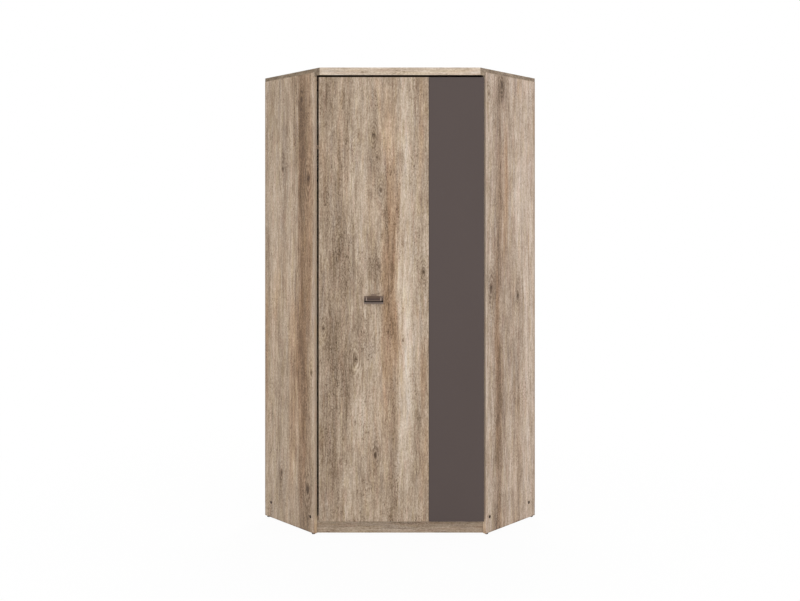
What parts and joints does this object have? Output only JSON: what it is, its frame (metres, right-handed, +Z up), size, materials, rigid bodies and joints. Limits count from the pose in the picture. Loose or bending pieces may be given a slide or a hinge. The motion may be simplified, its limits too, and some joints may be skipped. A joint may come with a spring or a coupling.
{
  "type": "corner wardrobe",
  "caption": "Tall corner wardrobe with a diagonal hinged door of an oak and a taupe board, a hat shelf, a clothes rail and a cup pull.",
  "frame": {"origin": "centre of the bounding box, on the floor", "axes": "+Z up, the door faces -Y, the room corner is at +Y, the door's hinges are at +X"},
  "size_m": [1.2232, 0.9042, 1.985],
  "materials": {
    "oak_board": "aged oak decor with an open grain, dull satin",
    "taupe_board": "plain taupe decor, matt",
    "back_sheet": "raw brown fibreboard outside",
    "dowel": "raw beech",
    "nickel_fitting": "nickel-plated steel",
    "chrome_rail": "bright chrome",
    "bronze_handle": "antique bronze, rubbed bright on its edges",
    "black_glide": "black plastic",
    "dark_screw": "dark burnished steel",
    "clear_buffer": "clear soft rubber"
  },
  "bodies": {
    "carcass": {"back_sheet_left": "back_sheet", "back_sheet_right": "back_sheet", "bottom_panel": "oak_board", "corner_board_left": "oak_board", "corner_board_right": "oak_board", "door_buffer_bottom": "clear_buffer", "door_buffer_shelf": "clear_buffer", "glide_left_corner": "black_glide", "glide_left_front": "black_glide", "glide_left_rear": "black_glide", "glide_right_corner": "black_glide", "glide_right_front": "black_glide", "glide_right_rear": "black_glide", "hanging_rail": "chrome_rail", "hat_shelf": "oak_board", "hinge_arm_1": "nickel_fitting", "hinge_arm_2": "nickel_fitting", "hinge_arm_3": "nickel_fitting", "hinge_arm_4": "nickel_fitting", "hinge_plate_1": "nickel_fitting", "hinge_plate_2": "nickel_fitting", "hinge_plate_3": "nickel_fitting", "hinge_plate_4": "nickel_fitting", "plinth_board": "oak_board", "rail_bracket_left": "chrome_rail", "rail_bracket_right": "chrome_rail", "shelf_support_left_corner": "nickel_fitting", "shelf_support_left_front": "nickel_fitting", "shelf_support_left_rear": "nickel_fitting", "shelf_support_right_corner": "nickel_fitting", "shelf_support_right_front": "nickel_fitting", "shelf_support_right_rear": "nickel_fitting", "side_panel_left": "oak_board", "side_panel_right": "oak_board", "side_screw_left_front": "dark_screw", "side_screw_left_rear": "dark_screw", "side_screw_right_front": "dark_screw", "side_screw_right_rear": "dark_screw", "top_dowel_left_front": "dowel", "top_dowel_left_rear": "dowel", "top_dowel_right_front": "dowel", "top_dowel_right_rear": "dowel", "top_front_strip": "oak_board", "top_panel": "oak_board"},
    "door": {"door_dowel_1": "dowel", "door_dowel_2": "dowel", "door_dowel_3": "dowel", "door_oak_board": "oak_board", "door_taupe_board": "taupe_board", "handle_pull": "bronze_handle", "handle_screw_left": "nickel_fitting", "handle_screw_right": "nickel_fitting", "hinge_cup_1": "nickel_fitting", "hinge_cup_2": "nickel_fitting", "hinge_cup_3": "nickel_fitting", "hinge_cup_4": "nickel_fitting", "hinge_pin_1": "nickel_fitting", "hinge_pin_2": "nickel_fitting", "hinge_pin_3": "nickel_fitting", "hinge_pin_4": "nickel_fitting"}
  },
  "joints": [
    {"name": "door_swing", "type": "hinge", "parent": "carcass", "child": "door", "pos_m": [0.34587, -0.41631, 1], "axis": [0, 0, 1], "range_deg": [0, 95]}
  ]
}
